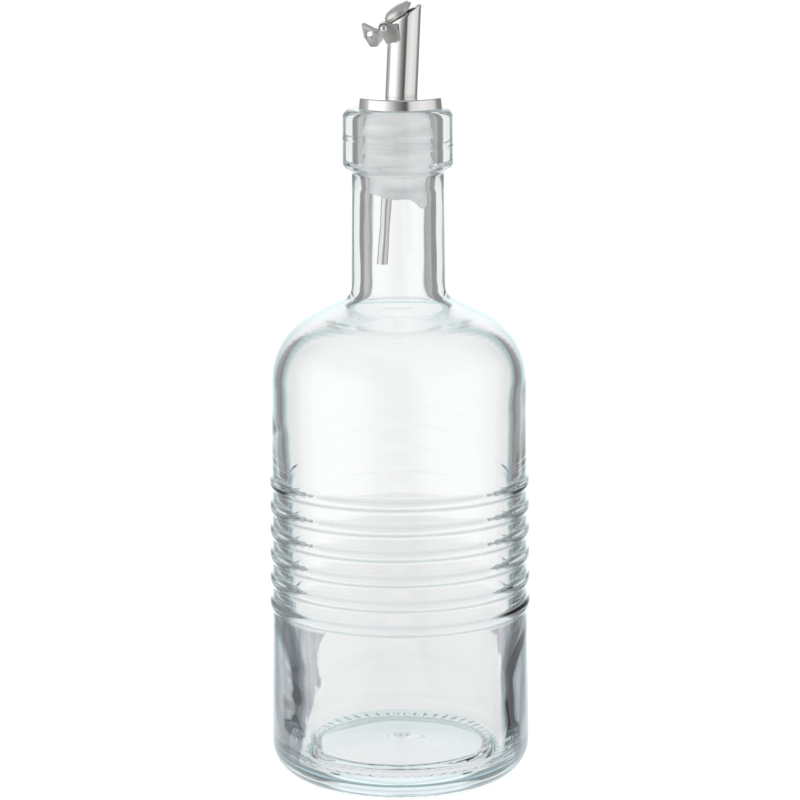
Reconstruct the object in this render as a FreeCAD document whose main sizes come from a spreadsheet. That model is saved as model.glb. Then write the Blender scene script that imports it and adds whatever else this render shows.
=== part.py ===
import FreeCAD, Part
import math
import os
import Sketcher
from FreeCAD import Placement, Rotation, Vector

# Glass oil bottle with a corked steel pourer.  Millimetres; +Z runs up the bottle's axis,
# z = 0 is the plane the bottle stands on, the pouring lip points to +X, the hinge pin runs along Y.

doc = FreeCAD.newDocument("oil_bottle")
sheet = doc.addObject("Spreadsheet::Sheet", "dims")

DRIVING = {
    # glass bottle, outside
    "barrel_radius": 39.0, "shoulder_radius": 22.0, "shoulder_edge_height": 132.4,
    "heel_radius": 9.0, "neck_foot_radius": 14.5, "neck_foot_height": 143.6, "neck_fillet": 4.0,
    "neck_top_radius": 14.2, "neck_top_height": 181.4, "collar_radius": 17.0,
    "collar_foot_height": 183.3, "collar_foot_round": 1.8, "collar_top_round": 2.6,
    "bottle_height": 200.8,
    # glass bottle, inside
    "wall": 3.4, "floor_height": 8.6, "floor_rise": 1.6, "floor_edge_radius": 26.5,
    "neck_bore_radius": 9.25, "mouth_bore_radius": 11.0, "mouth_bore_depth": 18.0,
    "bore_taper_height": 4.0, "mouth_round": 0.9, "inner_neck_fillet": 7.0,
    # foot: push-up and ribbed bearing ring
    "bearing_inner_radius": 25.5, "bearing_outer_radius": 30.5, "push_up_height": 3.4,
    "push_up_round": 1.2, "bearing_groove_depth": 0.4, "bearing_groove_width": 1.5,
    "bearing_groove_count": 48.0,
    # ribs round the barrel
    "rib_first_height": 50.9, "rib_pitch": 7.34, "rib_count": 6.0, "rib_round": 3.1,
    "rib_stand": 0.69,
    # plug: soft finned sleeve on a stiff core
    "fin_clearance": 0.05, "turn_clearance": 0.05, "core_radius": 6.6, "sleeve_wall": 2.0,
    "fin_thickness": 0.7, "fin_droop": 1.6, "fin_pitch": 4.6, "sleeve_top_band": 2.6,
    "sleeve_foot_height": 177.6, "skirt_tip_height": 172.2, "skirt_thickness": 0.6,
    "sleeve_gap": 0.05, "core_foot_height": 178.4,
    # steel cap
    "cap_radius": 13.0, "cap_height": 3.5, "cap_sheet": 0.5, "cap_round": 0.7, "cap_gap": 0.06,
    "cap_offset": 0.9,
    # spout tube
    "spout_radius": 5.0, "spout_wall": 0.35, "spout_lean": 2.8, "spout_offset": 0.95,
    "mouth_slope": 33.8, "mouth_centre_height": 28.9, "spout_foot_depth": 21.9,
    # breather tube
    "air_radius": 1.6, "air_wall": 0.3, "air_lean": 4.0, "air_offset": 2.2,
    "air_top_height": 17.0, "air_tip_height": 153.4,
    # hinge
    "pin_distance": 6.29, "pin_height": 24.52, "pin_radius": 0.6, "pin_head_radius": 1.0,
    "pin_head_thickness": 0.45, "pin_clearance": 0.03, "knuckle_radius": 1.1,
    "knuckle_half_width": 3.2, "bracket_drop": 2.6, "bracket_rise": 0.3,
    # flap lid
    "lid_open_angle": 4.5, "lid_sheet": 0.4, "lid_lift": 0.3, "lid_half_width": 4.7,
    "lid_half_length": 4.9, "lid_centre_distance": 6.1, "lid_dome_height": 3.0,
    "lip_length": 1.3, "lip_half_width": 2.0, "lip_angle": 30.0, "lug_angle": 6.5,
    "lug_gap": 0.15, "lug_left": 0.9, "lug_right": 4.1, "lug_drop": 5.0, "lug_rise": 0.8,
    "saddle_gap": 0.1, "saddle_start_angle": 50.0, "saddle_sweep": 150.0,
    "strap_half_width": 2.6, "strap_length": 1.5,
    "tab_angle": 204.9, "tab_root": 1.3, "tab_length": 6.8, "tab_hole_distance": 4.8,
    "tab_hole_radius": 0.85, "tab_fold_angle": 24.0, "tab_width": 4.2,
}


class Size:
    """A number together with the spreadsheet expression it comes from."""

    def __init__(self, value, text):
        self.value = float(value)
        self.text = text

    def __add__(self, other):
        other = size(other)
        return Size(self.value + other.value, f"({self.text} + {other.text})")

    def __sub__(self, other):
        other = size(other)
        return Size(self.value - other.value, f"({self.text} - {other.text})")

    def __mul__(self, other):
        other = size(other)
        return Size(self.value * other.value, f"({self.text} * {other.text})")

    def __truediv__(self, other):
        other = size(other)
        return Size(self.value / other.value, f"({self.text} / {other.text})")

    def __neg__(self):
        return Size(-self.value, f"(0 - {self.text})")


def size(thing):
    return thing if isinstance(thing, Size) else Size(thing, repr(float(thing)))


def sin(angle):
    return Size(math.sin(math.radians(angle.value)), f"sin({angle.text} * 1 deg)")


def cos(angle):
    return Size(math.cos(math.radians(angle.value)), f"cos({angle.text} * 1 deg)")


def tan(angle):
    return Size(math.tan(math.radians(angle.value)), f"tan({angle.text} * 1 deg)")


for row, (alias, number) in enumerate(DRIVING.items(), start=1):
    sheet.set(f"A{row}", alias)
    sheet.set(f"B{row}", str(number))
    sheet.setAlias(f"B{row}", alias)
doc.recompute()
D = {alias: Size(number, f"dims.{alias}") for alias, number in DRIVING.items()}
ZERO = size(0)


# ---------- helpers ----------

def new_body(name):
    body = doc.addObject("PartDesign::Body", name)
    body.Label = name
    return body


def origin_feature(body, role):
    return next(item for item in body.Origin.OriginFeatures if item.Role == role)


def new_sketch(body, name, role):
    sketch = body.newObject("Sketcher::SketchObject", name)
    sketch.AttachmentSupport = [(origin_feature(body, role), "")]
    sketch.MapMode = "FlatFace"
    return sketch


def bind_constraint(sketch, kind, *where_and_size):
    *where, amount = where_and_size
    index = sketch.addConstraint(Sketcher.Constraint(kind, *where, amount.value))
    sketch.setExpression(f"Constraints[{index}]", amount.text)


def rounded_polygon(sketch, corners):
    """Closed outline, anticlockwise, of (x, y, corner radius); a zero radius leaves the corner sharp."""
    points = [Vector(x.value, y.value, 0) for x, y, _ in corners]
    rounds = [radius.value for _, _, radius in corners]
    count = len(points)
    starts, ends, arc_middles = [], [], []
    for i in range(count):
        before = (points[i - 1] - points[i]).normalize()
        after = (points[(i + 1) % count] - points[i]).normalize()
        half_angle = before.getAngle(after) / 2
        reach = rounds[i] / math.tan(half_angle)
        ends.append(points[i] + before * reach)
        starts.append(points[i] + after * reach)
        middle = (before + after).normalize()
        arc_middles.append(points[i] + middle * rounds[i] * (1 / math.sin(half_angle) - 1))
    lines = []
    for i in range(count):
        lines.append(sketch.addGeometry(Part.LineSegment(starts[i], ends[(i + 1) % count]), False))
    for i in range(count):
        marker = sketch.addGeometry(Part.Point(points[i]), True)
        bind_constraint(sketch, "DistanceX", marker, 1, corners[i][0])
        bind_constraint(sketch, "DistanceY", marker, 1, corners[i][1])
        line_in, line_out = lines[i - 1], lines[i]
        if rounds[i] == 0:
            sketch.addConstraint(Sketcher.Constraint("Coincident", line_in, 2, marker, 1))
            sketch.addConstraint(Sketcher.Constraint("Coincident", line_out, 1, marker, 1))
            continue
        convex = (points[i] - points[i - 1]).cross(points[(i + 1) % count] - points[i]).z > 0
        first, last = (ends[i], starts[i]) if convex else (starts[i], ends[i])
        arc = sketch.addGeometry(Part.Arc(first, arc_middles[i], last), False)
        side_in, side_out = (1, 2) if convex else (2, 1)
        sketch.addConstraint(Sketcher.Constraint("Tangent", line_in, 2, arc, side_in))
        sketch.addConstraint(Sketcher.Constraint("Tangent", arc, side_out, line_out, 1))
        sketch.addConstraint(Sketcher.Constraint("PointOnObject", marker, 1, line_in))
        sketch.addConstraint(Sketcher.Constraint("PointOnObject", marker, 1, line_out))
        bind_constraint(sketch, "Radius", arc, corners[i][2])


def spin(body, kind, name, sketch):
    feature = body.newObject(kind, name)
    feature.Profile = sketch
    feature.ReferenceAxis = (sketch, ["V_Axis"])
    feature.Angle = 360.0
    return feature


def turned_body(name, corners):
    """Solid of revolution about Z of one closed outline."""
    body = new_body(name)
    sketch = new_sketch(body, f"{name}_outline", "XZ_Plane")
    rounded_polygon(sketch, corners)
    spin(body, "PartDesign::Revolution", f"{name}_solid", sketch)
    return body


def primitive(kind, name, **sizes):
    item = doc.addObject(kind, name)
    for prop, amount in sizes.items():
        item.setExpression(prop, size(amount).text)
    return item


def put(item, x=ZERO, y=ZERO, z=ZERO, axis=(0, 1, 0), angle=ZERO):
    """Place an object: live position, and a live turn of `angle` degrees about `axis`."""
    item.Placement = Placement(Vector(0, 0, 0), Rotation(Vector(*axis), size(angle).value or 1.0))
    item.setExpression("Placement.Base.x", size(x).text)
    item.setExpression("Placement.Base.y", size(y).text)
    item.setExpression("Placement.Base.z", size(z).text)
    item.setExpression("Placement.Rotation.Angle", f"{size(angle).text} * 1 deg")
    return item


def cut(name, base, tool):
    item = doc.addObject("Part::Cut", name)
    item.Base = base
    item.Tool = tool
    return item


def fuse(name, items):
    item = doc.addObject("Part::MultiFuse", name)
    item.Shapes = items
    item.Refine = True
    return item


# ---------- glass ----------

def glass_bottle():
    body = turned_body("glass_bottle", [
        (ZERO, D["push_up_height"], ZERO),
        (D["bearing_inner_radius"] - 2.0, D["push_up_height"] - 0.8, D["push_up_round"]),
        (D["bearing_inner_radius"], ZERO, D["push_up_round"] / 2),
        (D["barrel_radius"], ZERO, D["heel_radius"]),
        (D["barrel_radius"], D["shoulder_edge_height"], D["shoulder_radius"]),
        (D["neck_foot_radius"], D["neck_foot_height"], D["neck_fillet"]),
        (D["neck_top_radius"], D["neck_top_height"], D["collar_foot_round"] / 2),
        (D["collar_radius"], D["collar_foot_height"], D["collar_foot_round"]),
        (D["collar_radius"], D["bottle_height"], D["collar_top_round"]),
        (ZERO, D["bottle_height"], ZERO),
    ])
    ribs = new_sketch(body, "rib_section", "XZ_Plane")
    circle = ribs.addGeometry(Part.Circle(Vector(36.6, 50.9, 0), Vector(0, 0, 1), 3.1), False)
    bind_constraint(ribs, "DistanceX", circle, 3, D["barrel_radius"] + D["rib_stand"] - D["rib_round"])
    bind_constraint(ribs, "DistanceY", circle, 3, D["rib_first_height"])
    bind_constraint(ribs, "Radius", circle, D["rib_round"])
    rib = spin(body, "PartDesign::Revolution", "rib", ribs)
    rib_row = body.newObject("PartDesign::LinearPattern", "rib_row")
    rib_row.Originals = [rib]
    rib_row.Direction = (origin_feature(body, "Z_Axis"), [""])
    rib_row.setExpression("Length", (D["rib_pitch"] * (D["rib_count"] - 1)).text)
    rib_row.setExpression("Occurrences", "dims.rib_count")
    body.Tip = rib_row

    inner = D["barrel_radius"] - D["wall"]
    bore_step = D["bottle_height"] - D["mouth_bore_depth"]
    cavity = new_sketch(body, "cavity_section", "XZ_Plane")
    rounded_polygon(cavity, [
        (ZERO, D["floor_height"] + D["floor_rise"], ZERO),
        (D["floor_edge_radius"], D["floor_height"], ZERO),
        (inner, D["floor_height"], D["heel_radius"] - 0.5),
        (inner, D["shoulder_edge_height"] - D["wall"] * 0.7, D["shoulder_radius"] - D["wall"]),
        (D["neck_bore_radius"], D["neck_foot_height"] - D["wall"] * 1.05, D["inner_neck_fillet"]),
        (D["neck_bore_radius"], bore_step - D["bore_taper_height"], ZERO),
        (D["mouth_bore_radius"], bore_step, ZERO),
        (D["mouth_bore_radius"], D["bottle_height"] - D["mouth_round"], ZERO),
        (D["mouth_bore_radius"] + D["mouth_round"], D["bottle_height"], ZERO),
        (ZERO, D["bottle_height"], ZERO),
    ])
    spin(body, "PartDesign::Groove", "cavity", cavity)

    slot = new_sketch(body, "bearing_groove_outline", "XY_Plane")
    half = D["bearing_groove_width"] / 2
    rounded_polygon(slot, [
        (D["bearing_inner_radius"] - 0.8, -half, ZERO),
        (D["bearing_outer_radius"] + 0.8, -half, ZERO),
        (D["bearing_outer_radius"] + 0.8, half, ZERO),
        (D["bearing_inner_radius"] - 0.8, half, ZERO),
    ])
    groove = body.newObject("PartDesign::Pocket", "bearing_groove")
    groove.Profile = slot
    groove.setExpression("Length", "dims.bearing_groove_depth")
    groove.Reversed = True
    ring = body.newObject("PartDesign::PolarPattern", "bearing_grooves")
    ring.Originals = [groove]
    ring.Axis = (origin_feature(body, "Z_Axis"), [""])
    ring.Angle = 360.0
    ring.setExpression("Occurrences", "dims.bearing_groove_count")
    body.Tip = ring
    return body


# ---------- plug ----------

def plug_sleeve():
    """Soft sleeve: a thin tube with drooping fins that wipe the bore, and a longer skirt at the foot."""
    inner = D["core_radius"] + D["turn_clearance"]
    outer = inner + D["sleeve_wall"]
    fin_tip = D["mouth_bore_radius"] - D["fin_clearance"]
    skirt_tip = D["neck_bore_radius"] - D["fin_clearance"]
    top = D["bottle_height"] - D["sleeve_gap"]
    corners = [(inner, D["sleeve_foot_height"], ZERO), (inner, top, ZERO), (fin_tip, top, ZERO),
               (fin_tip, top - D["sleeve_top_band"], ZERO), (outer, top - D["sleeve_top_band"], ZERO)]
    for number in (1, 2, 3):
        level = top - D["sleeve_top_band"] - D["fin_pitch"] * number + D["fin_droop"]
        corners += [(outer, level + D["fin_thickness"], ZERO),
                    (fin_tip, level + D["fin_thickness"] - D["fin_droop"], ZERO),
                    (fin_tip, level - D["fin_droop"], ZERO),
                    (outer, level, ZERO)]
    corners += [(outer, D["sleeve_foot_height"] + 0.6, ZERO),
                (skirt_tip, D["skirt_tip_height"], ZERO),
                (skirt_tip - D["skirt_thickness"], D["skirt_tip_height"], ZERO)]
    return turned_body("plug_sleeve", corners)


def spout_cutter(name):
    """Solid rod along the leaning spout, used to cut matching holes."""
    rod = primitive("Part::Cylinder", name, Radius=D["spout_radius"], Height=D["spout_foot_depth"] * 3)
    return lean_from_collar(rod, -D["spout_foot_depth"] * 1.5)


def lean_from_collar(item, along, across=ZERO):
    """Put an object in the spout's frame, whose origin is where the spout axis meets the collar top."""
    x = D["spout_offset"] + along * sin(D["spout_lean"]) + across * cos(D["spout_lean"])
    z = D["bottle_height"] + along * cos(D["spout_lean"]) - across * sin(D["spout_lean"])
    return put(item, x, ZERO, z, angle=D["spout_lean"])


def plug_core():
    """Stiff core turning in the sleeve, with an off-centre flange that fills the cap."""
    flange_foot = D["bottle_height"] + D["cap_gap"]
    flange_top = flange_foot + D["cap_height"] - D["cap_sheet"]
    stem = turned_body("core_stem", [
        (ZERO, D["core_foot_height"], ZERO), (D["core_radius"], D["core_foot_height"], ZERO),
        (D["core_radius"], flange_top, ZERO), (ZERO, flange_top, ZERO),
    ])
    flange = turned_body("core_flange", [
        (ZERO, flange_foot, ZERO), (D["cap_radius"] - D["cap_sheet"], flange_foot, ZERO),
        (D["cap_radius"] - D["cap_sheet"], flange_top, ZERO), (ZERO, flange_top, ZERO),
    ])
    put(flange, D["cap_offset"])
    return cut("plug_core", fuse("core_blank", [stem, flange]), spout_cutter("core_bore"))


def cap_disc():
    """Pressed steel cup that sits on the collar and closes over the core."""
    foot = D["bottle_height"] + D["cap_gap"]
    top = foot + D["cap_height"]
    body = turned_body("cap_blank", [
        (ZERO, top - D["cap_sheet"], ZERO),
        (D["cap_radius"] - D["cap_sheet"], top - D["cap_sheet"], ZERO),
        (D["cap_radius"] - D["cap_sheet"], foot, ZERO),
        (D["cap_radius"], foot, ZERO),
        (D["cap_radius"], top, D["cap_round"]),
        (ZERO, top, ZERO),
    ])
    put(body, D["cap_offset"])
    return cut("cap_disc", body, spout_cutter("cap_hole"))


# ---------- spout and breather ----------

def spout_tube():
    length = D["spout_foot_depth"] + D["mouth_centre_height"] + D["spout_radius"] * 2
    outside = primitive("Part::Cylinder", "spout_outside", Radius=D["spout_radius"], Height=length)
    bore = primitive("Part::Cylinder", "spout_bore", Radius=D["spout_radius"] - D["spout_wall"],
                     Height=length)
    for item in (outside, bore):
        put(item, z=-D["spout_foot_depth"])
    side = D["spout_radius"] * 6
    blade = primitive("Part::Box", "mouth_blade", Length=side, Width=side, Height=side)
    put(blade, -(side / 2) * cos(D["mouth_slope"]), -side / 2,
        D["mouth_centre_height"] - (side / 2) * sin(D["mouth_slope"]), angle=-D["mouth_slope"])
    tube = cut("spout_tube", cut("spout_pipe", outside, bore), blade)
    return lean_from_collar(tube, ZERO)


def air_tube():
    """Breather: enters the spout beside the mouth on the hinge side and hangs below the plug."""
    length = (D["bottle_height"] - D["air_tip_height"] + D["air_top_height"]) / cos(D["air_lean"])
    outside = primitive("Part::Cylinder", "air_outside", Radius=D["air_radius"], Height=length)
    bore = primitive("Part::Cylinder", "air_bore", Radius=D["air_radius"] - D["air_wall"], Height=length)
    tube = cut("air_tube", outside, bore)
    drop = D["bottle_height"] + D["air_top_height"] - D["air_tip_height"]
    top_x = D["spout_offset"] + D["air_top_height"] * tan(D["spout_lean"]) - D["air_offset"]
    return put(tube, top_x - drop * tan(D["air_lean"]), ZERO, D["air_tip_height"], angle=D["air_lean"])


# ---------- hinge; built about the pin, square to the spout ----------

def along_pin(name, radius, half_width, **more):
    """Cylinder lying along Y, centred on the pin's axis."""
    rod = primitive("Part::Cylinder", name, Radius=radius, Height=half_width * 2, **more)
    return put(rod, y=half_width, axis=(1, 0, 0), angle=size(90))


def to_pin(item, turn=ZERO):
    """Move a hinge part from the pin's own frame to its place on the spout."""
    x = D["spout_offset"] + D["pin_height"] * sin(D["spout_lean"]) - D["pin_distance"] * cos(D["spout_lean"])
    z = D["bottle_height"] + D["pin_height"] * cos(D["spout_lean"]) + D["pin_distance"] * sin(D["spout_lean"])
    return put(item, x, ZERO, z, angle=D["spout_lean"] - turn)


def lug_reach():
    return D["spout_radius"] + D["lug_gap"] + D["lid_sheet"]


def hinge_bracket():
    knuckle = along_pin("knuckle", D["knuckle_radius"], D["knuckle_half_width"])
    foot = primitive("Part::Box", "bracket_foot", Length=D["pin_distance"] - D["spout_radius"] + 1.5,
                     Width=D["knuckle_half_width"] * 2, Height=D["bracket_drop"] + D["bracket_rise"])
    put(foot, ZERO, -D["knuckle_half_width"], -D["bracket_drop"])
    tube = primitive("Part::Cylinder", "bracket_seat", Radius=D["spout_radius"],
                     Height=D["spout_radius"] * 4)
    put(tube, D["pin_distance"], ZERO, -D["spout_radius"] * 2)
    hole = along_pin("bracket_pin_hole", D["pin_radius"] + D["pin_clearance"],
                     D["knuckle_half_width"] + 1)
    block = cut("bracket_block", fuse("bracket_blank", [knuckle, foot]), tube)
    return to_pin(cut("hinge_bracket", block, hole))


def hinge_pin():
    shank = along_pin("pin_shank", D["pin_radius"], lug_reach())
    heads = []
    for name, start in (("near_head", -lug_reach()), ("far_head", lug_reach() + D["pin_head_thickness"])):
        head = primitive("Part::Cylinder", name, Radius=D["pin_head_radius"],
                         Height=D["pin_head_thickness"])
        heads.append(put(head, y=start, axis=(1, 0, 0), angle=size(90)))
    return to_pin(fuse("hinge_pin", [shank] + heads), D["lid_open_angle"])


def lid_dome():
    """Spoon-shaped shell: the upper half of one ellipsoid less a thinner one."""
    shells = []
    for name, shrink in (("dome_outside", ZERO), ("dome_inside", D["lid_sheet"])):
        shell = primitive("Part::Ellipsoid", name, Radius1=D["lid_dome_height"] - shrink,
                          Radius2=D["lid_half_length"] - shrink, Radius3=D["lid_half_width"] - shrink)
        shell.Angle1 = 0.0
        shells.append(shell)
    dome = cut("lid_dome", *shells)
    reach, lift = D["lid_centre_distance"], D["lid_lift"]
    slope = D["mouth_slope"]
    return put(dome, reach * cos(slope) - lift * sin(slope), ZERO,
               reach * sin(slope) + lift * cos(slope), angle=-slope)


def lid_lip():
    """Turned-up tip of the lid, for the oil to push against."""
    lip = primitive("Part::Box", "lid_lip", Length=D["lip_length"], Width=D["lip_half_width"] * 2,
                    Height=D["lid_sheet"])
    slope, lift = D["mouth_slope"], D["lid_lift"] + D["lid_sheet"] / 2
    reach = D["lid_centre_distance"] + D["lid_half_length"] - D["lid_sheet"] * 1.5
    return put(lip, reach * cos(slope) - lift * sin(slope), -D["lip_half_width"],
               reach * sin(slope) + lift * cos(slope), angle=-(slope + D["lip_angle"]))


def lid_saddle():
    """Half-round strip that rides over the knuckle and joins lid, lugs and tab."""
    inner = D["knuckle_radius"] + D["saddle_gap"]
    outside = primitive("Part::Cylinder", "saddle_outside", Radius=inner + D["lid_sheet"],
                        Height=lug_reach() * 2, Angle=D["saddle_sweep"])
    bore = primitive("Part::Cylinder", "saddle_bore", Radius=inner, Height=lug_reach() * 2)
    saddle = cut("lid_saddle", outside, bore)
    outside.Placement = Placement(Vector(0, 0, 0), Rotation(Vector(0, 0, 1), 1.0))
    outside.setExpression("Placement.Rotation.Angle", "dims.saddle_start_angle * 1 deg")
    return put(saddle, y=lug_reach(), axis=(1, 0, 0), angle=size(90))


def lid_strap():
    """Flat link from the saddle to the dome."""
    strap = primitive("Part::Box", "lid_strap", Length=D["strap_length"], Width=D["strap_half_width"] * 2,
                      Height=D["lid_sheet"])
    slope, start, lift = D["mouth_slope"], D["knuckle_radius"] + D["saddle_gap"], D["lid_lift"] + 0.05
    return put(strap, start * cos(slope) - lift * sin(slope), -D["strap_half_width"],
               start * sin(slope) + lift * cos(slope), angle=-slope)


def plate(name, corners, thickness, y_start, turn=ZERO):
    """Flat sheet facing Y with a rounded outline drawn in X and Z, turned about Y."""
    body = new_body(name)
    sketch = new_sketch(body, f"{name}_outline", "XZ_Plane")
    rounded_polygon(sketch, corners)
    pad = body.newObject("PartDesign::Pad", f"{name}_pad")
    pad.Profile = sketch
    pad.setExpression("Length", thickness.text)
    return put(body, y=y_start, angle=-turn)


def lug(name, y_start):
    """Side cheek of the lid: hangs beside the spout and takes one end of the pin."""
    corner = size(0.6)
    outline = [(-D["lug_left"], D["lug_rise"], corner), (ZERO, -D["lug_drop"], corner),
               (D["lug_right"] + 0.4, -(D["lug_drop"] - 0.5), corner),
               (D["lug_right"], D["lug_rise"], corner)]
    return plate(name, outline, D["lid_sheet"], y_start, D["lug_angle"])


def thumb_tab():
    """Counterweight tab behind the pin: two rounded wings folded along the middle, with one hole."""
    width, length, root = D["tab_width"], D["tab_length"], D["tab_root"]
    upper = plate("tab_upper_wing", [
        (root, ZERO, ZERO), (root + 1.0, -width * 0.2, ZERO),
        (length * 0.8, -width, D["tab_hole_radius"]), (length, ZERO, ZERO)], D["lid_sheet"], ZERO)
    lower = plate("tab_lower_wing", [
        (root, ZERO, ZERO), (length, ZERO, ZERO), (length * 0.9, width, D["tab_hole_radius"]),
        (length * 0.62, width, D["tab_hole_radius"]), (root + 0.6, width * 0.78, size(0.5))],
        D["lid_sheet"], ZERO)
    for wing, fold in ((upper, D["tab_fold_angle"]), (lower, -D["tab_fold_angle"])):
        put(wing, y=D["lid_sheet"] / 2, axis=(1, 0, 0), angle=fold)
    hole = primitive("Part::Cylinder", "tab_hole", Radius=D["tab_hole_radius"], Height=width)
    put(hole, D["tab_hole_distance"], width / 2, ZERO, axis=(1, 0, 0), angle=size(90))
    root_bar = primitive("Part::Box", "tab_root_bar", Length=root, Width=D["lid_sheet"] * 3,
                         Height=D["lid_sheet"])
    crease = primitive("Part::Cylinder", "tab_crease", Radius=D["lid_sheet"] / 2, Height=length - root + 0.1)
    put(crease, root, D["lid_sheet"] / 2, ZERO, angle=size(90))
    put(root_bar, D["knuckle_radius"] + D["saddle_gap"] + 0.1, -D["lid_sheet"] * 1.5,
        -D["lid_sheet"] / 2)
    tab = cut("thumb_tab", fuse("tab_blank", [upper, lower, crease, root_bar]), hole)
    turned = put(tab, angle=-D["tab_angle"])
    return turned


def lug_eye(name, y_start):
    """Round end of a lug, about the pin."""
    eye = primitive("Part::Cylinder", name, Height=D["lid_sheet"],
                    Radius=D["knuckle_radius"] + D["saddle_gap"] + D["lid_sheet"])
    return put(eye, y=y_start, axis=(1, 0, 0), angle=size(90))


def lid_flap():
    outer = lug_reach()
    inner = outer - D["lid_sheet"]
    blank = fuse("lid_blank", [lid_dome(), lid_lip(), lid_strap(), lid_saddle(), thumb_tab(),
                               lug("near_lug", -inner), lug_eye("near_eye", -inner),
                               lug("far_lug", outer), lug_eye("far_eye", outer)])
    hole = along_pin("lid_pin_hole", D["pin_radius"], outer + 1)
    return to_pin(cut("lid_flap", blank, hole), D["lid_open_angle"])


# ---------- build, check, write ----------

parts = [glass_bottle(), plug_sleeve(), plug_core(), cap_disc(), spout_tube(), air_tube(),
         hinge_bracket(), hinge_pin(), lid_flap()]
doc.recompute()

for item in doc.Objects:
    states = [state for state in item.State if state in ("Invalid", "Error")]
    if states:
        raise RuntimeError(f"{item.Name}: {states}")

os.makedirs("parts", exist_ok=True)
for item in parts:
    shape = item.Shape
    if shape.isNull() or not shape.isValid() or shape.Volume <= 0:
        raise RuntimeError(f"{item.Label}: bad shape")
    shape.exportStep(f"parts/{item.Label}.step")
    box = shape.BoundBox
    print(f"{item.Label}: {len(shape.Solids)} solid(s), {shape.Volume:.1f} mm3, "
          f"x {box.XMin:.2f}..{box.XMax:.2f}  y {box.YMin:.2f}..{box.YMax:.2f}  z {box.ZMin:.2f}..{box.ZMax:.2f}")
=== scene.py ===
import math

import bpy
import numpy as np
from mathutils import Matrix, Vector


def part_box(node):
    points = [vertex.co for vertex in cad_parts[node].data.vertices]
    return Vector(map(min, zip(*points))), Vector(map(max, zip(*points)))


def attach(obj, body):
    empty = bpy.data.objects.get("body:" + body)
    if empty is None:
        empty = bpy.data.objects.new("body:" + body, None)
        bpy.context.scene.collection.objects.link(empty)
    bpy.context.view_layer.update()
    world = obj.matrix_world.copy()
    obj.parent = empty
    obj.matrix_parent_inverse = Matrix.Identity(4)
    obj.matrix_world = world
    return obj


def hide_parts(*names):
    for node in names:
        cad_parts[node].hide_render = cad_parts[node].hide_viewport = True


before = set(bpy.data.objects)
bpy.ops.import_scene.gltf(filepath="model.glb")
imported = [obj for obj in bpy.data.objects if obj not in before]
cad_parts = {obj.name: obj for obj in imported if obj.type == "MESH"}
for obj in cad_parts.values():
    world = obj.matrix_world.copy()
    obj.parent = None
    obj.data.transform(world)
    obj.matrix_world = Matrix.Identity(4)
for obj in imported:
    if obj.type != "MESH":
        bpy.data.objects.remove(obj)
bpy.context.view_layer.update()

MM = 0.001
TURN = 2 * math.pi
X, Y, Z = 0, 1, 2

# ---------- sizes, from the frame ----------

glass_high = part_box("glass_bottle")[1]
cap_low, cap_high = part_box("cap_disc")
sleeve_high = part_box("plug_sleeve")[1]

RIB_STAND = 0.69 * MM
BARREL = glass_high.x - RIB_STAND            # outside radius of the barrel
HEIGHT = glass_high.z                        # top of the collar
WALL = 3.4 * MM
INSIDE = BARREL - WALL
FLOOR = 8.6 * MM
HEEL_ROUND, SHOULDER_ROUND = 9.0 * MM, 22.0 * MM
RIB_FIRST, RIB_PITCH, RIB_COUNT = 50.9 * MM, 7.34 * MM, 6
RIB_LAST = RIB_FIRST + RIB_PITCH * (RIB_COUNT - 1)
RIB_HALF_WIDTH = 1.4 * MM
RIB_WANDER = 0.12 * MM                       # how far a rib rises and falls on its way round
RIB_LOST_AT_BACK = 0.85                      # share of a rib's height that is missing at the back
SHOULDER_EDGE = 132.4 * MM
NECK_FOOT, NECK_FOOT_RADIUS = 143.6 * MM, 14.5 * MM
NECK_TOP, NECK_TOP_RADIUS = 181.4 * MM, 14.2 * MM
COLLAR_FOOT, COLLAR_RADIUS = 183.3 * MM, 17.0 * MM
BORE, MOUTH_BORE = 9.25 * MM, 11.0 * MM
MOULD_LINE = 190.7 * MM                      # seam round the collar
MOULD_LINE_FALL = 0.064                      # how far it drops per millimetre across
MOULD_LINE_STAND, MOULD_LINE_HALF_WIDTH = 0.18 * MM, 0.28 * MM
BEARING_IN, BEARING_OUT = 27.0 * MM, 33.0 * MM
BEARING_BARS, BEARING_DEPTH = 56, 0.45 * MM
BARREL_WAVE, NECK_WAVE, NECK_RIPPLE, FLOOR_WAVE = 0.11 * MM, 0.07 * MM, 0.018 * MM, 0.12 * MM

SPOUT_LEAN = math.radians(2.8)
SPOUT_OFFSET = 0.95 * MM
SPOUT_RADIUS, SPOUT_WALL = 5.0 * MM, 0.35 * MM
SPOUT_FOOT = -21.9 * MM
MOUTH_SLOPE = math.radians(33.8)
MOUTH_CENTRE = 28.9 * MM
MOUTH_SKEW = math.radians(5)                 # the slanted cut faces slightly forward

GLASS_SEGMENTS = 320
# where the blown wall is thicker: bearing from +X and half spread in degrees,
# then middle height, half height and depth in millimetres
THICK_PATCHES = ((180, 38, 17, 26, 1.6), (180, 34, 66, 26, 0.4), (0, 34, 16, 24, 1.0),
                 (0, 32, 66, 28, 0.25), (182, 34, 96, 9, 0.2), (0, 34, 102, 18, 0.25))
rng = np.random.default_rng(7)


# ---------- mesh helpers ----------

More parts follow.
